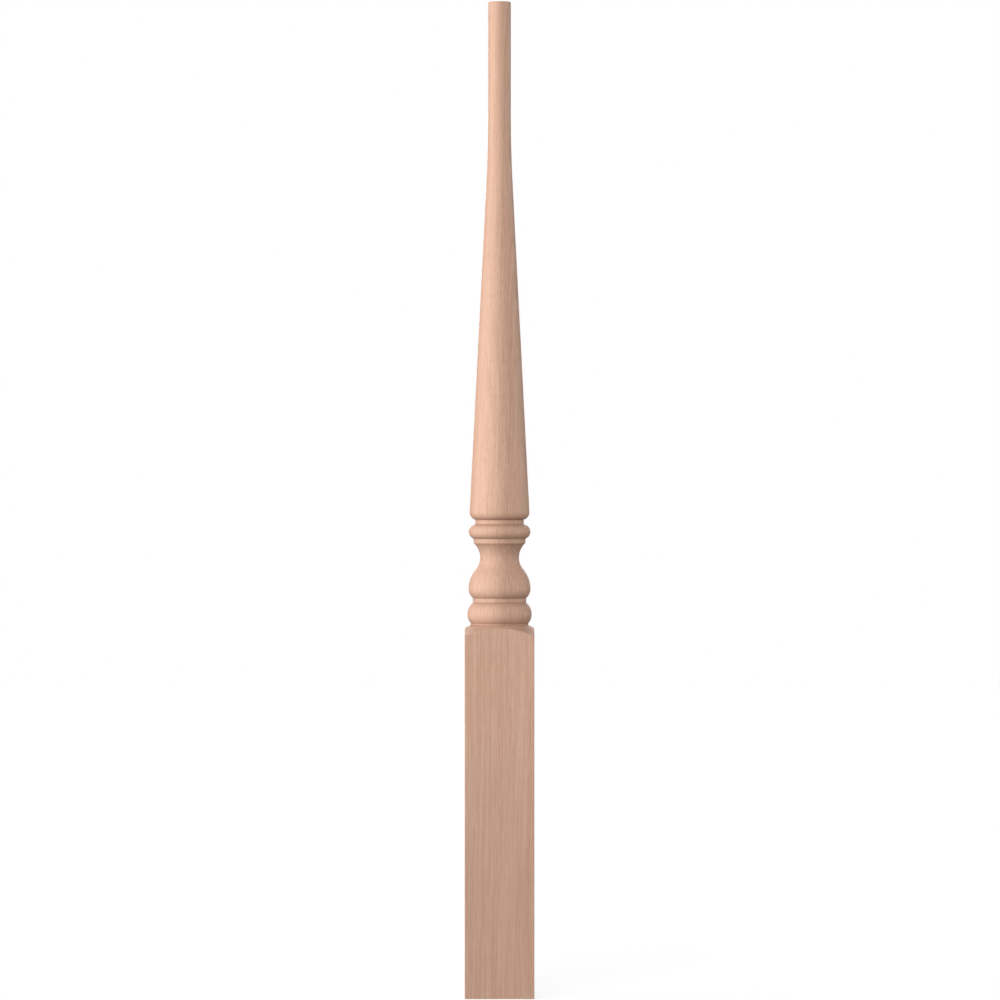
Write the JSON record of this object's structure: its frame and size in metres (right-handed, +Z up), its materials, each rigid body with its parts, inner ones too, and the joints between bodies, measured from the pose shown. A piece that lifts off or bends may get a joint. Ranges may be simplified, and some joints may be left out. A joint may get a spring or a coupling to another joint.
{
  "type": "newel post",
  "caption": "Turned wooden newel post: square block with a sloping shoulder, beads, a waisted vase and a long slender taper that ends in a straight pin for a handrail fitting.",
  "frame": {"origin": "centre of the underside, where the post stands on the floor", "axes": "+Z up the post's own axis towards the pin; +X and +Y each square to a face of the block, with -Y the front"},
  "size_m": [0.0762, 0.0762, 1.0922],
  "materials": {
    "bare_hardwood": "sanded"
  },
  "bodies": {
    "root": {"newel_post": "bare_hardwood"}
  },
  "joints": []
}
